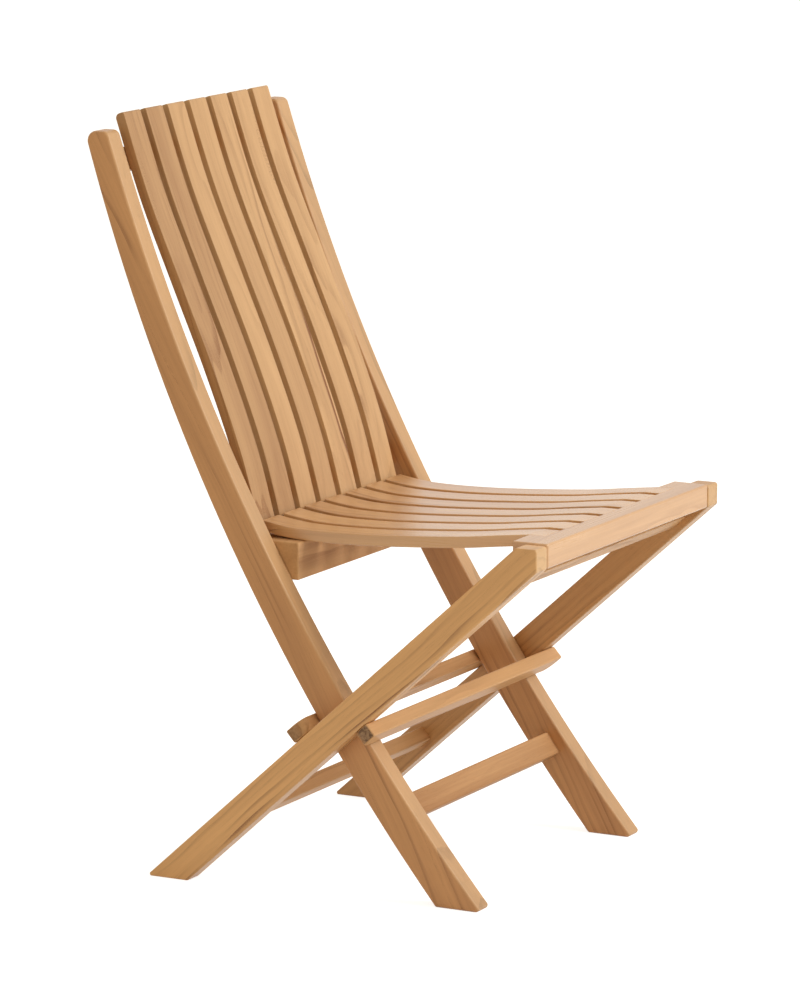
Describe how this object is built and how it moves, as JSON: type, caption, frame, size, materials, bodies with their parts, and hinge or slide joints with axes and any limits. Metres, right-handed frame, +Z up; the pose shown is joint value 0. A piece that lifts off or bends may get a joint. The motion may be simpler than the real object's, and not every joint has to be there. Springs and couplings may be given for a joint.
{
  "type": "folding chair",
  "caption": "Slatted folding side chair in teak: bowed posts carry the back and cross straight legs under a hinged, slatted seat.",
  "frame": {"origin": "middle of the footprint, on the floor", "axes": "+X to the front of the chair, +Y to the sitter's left, +Z up"},
  "size_m": [0.6051, 0.49, 0.8982],
  "materials": {
    "post_teak": "natural teak, fine straight grain, eased edges",
    "leg_teak": "natural teak, fine straight grain, eased edges",
    "slat_teak": "natural teak, pale, satin",
    "seat_teak": "natural teak, pale, satin",
    "rail_teak": "natural teak, satin",
    "steel": "plain stainless, satin"
  },
  "bodies": {
    "back_frame": {"right_post": "post_teak", "left_post": "post_teak", "top_back_rail": "rail_teak", "bottom_back_rail": "rail_teak", "seat_support_rail": "rail_teak", "post_stretcher": "rail_teak", "back_slat_1": "slat_teak", "back_slat_2": "slat_teak", "back_slat_3": "slat_teak", "back_slat_4": "slat_teak", "back_slat_5": "slat_teak", "back_slat_6": "slat_teak", "back_slat_7": "slat_teak", "top_screw_1": "steel", "top_screw_2": "steel", "top_screw_3": "steel", "top_screw_4": "steel", "top_screw_5": "steel", "top_screw_6": "steel", "top_screw_7": "steel", "bottom_screw_1": "steel", "bottom_screw_2": "steel", "bottom_screw_3": "steel", "bottom_screw_4": "steel", "bottom_screw_5": "steel", "bottom_screw_6": "steel", "bottom_screw_7": "steel"},
    "leg_frame": {"right_leg": "leg_teak", "left_leg": "leg_teak", "leg_stretcher": "rail_teak", "leg_top_rail": "rail_teak", "crossing_rail_rear": "rail_teak", "crossing_rail_front": "rail_teak", "rear_dowel_right": "rail_teak", "rear_dowel_left": "rail_teak", "front_dowel_right": "rail_teak", "front_dowel_left": "rail_teak", "crossing_pin_right": "steel", "crossing_pin_left": "steel", "crossing_washer_right": "steel", "crossing_washer_left": "steel", "seat_pin_right": "steel", "seat_pin_left": "steel"},
    "seat": {"seat_front_rail": "seat_teak", "seat_tie_rod": "steel", "seat_slat_1": "seat_teak", "seat_slat_2": "seat_teak", "seat_slat_3": "seat_teak", "seat_slat_4": "seat_teak", "seat_slat_5": "seat_teak", "seat_slat_6": "seat_teak", "seat_slat_7": "seat_teak", "seat_screw_1": "steel", "seat_screw_2": "steel", "seat_screw_3": "steel", "seat_screw_4": "steel", "seat_screw_5": "steel", "seat_screw_6": "steel", "seat_screw_7": "steel"}
  },
  "joints": [
    {"name": "leg_fold", "type": "hinge", "parent": "back_frame", "child": "leg_frame", "pos_m": [0.02914, 0, 0.198], "axis": [0, -1, 0], "range_deg": [0, 68]},
    {"name": "seat_fold", "type": "hinge", "parent": "leg_frame", "child": "seat", "pos_m": [0.28265, 0, 0.42], "axis": [0, 1, 0], "range_deg": [0, 142.8]}
  ],
  "couplings": [
    {"joint": "seat_fold", "follows": "leg_fold", "ratio": 2.1}
  ]
}
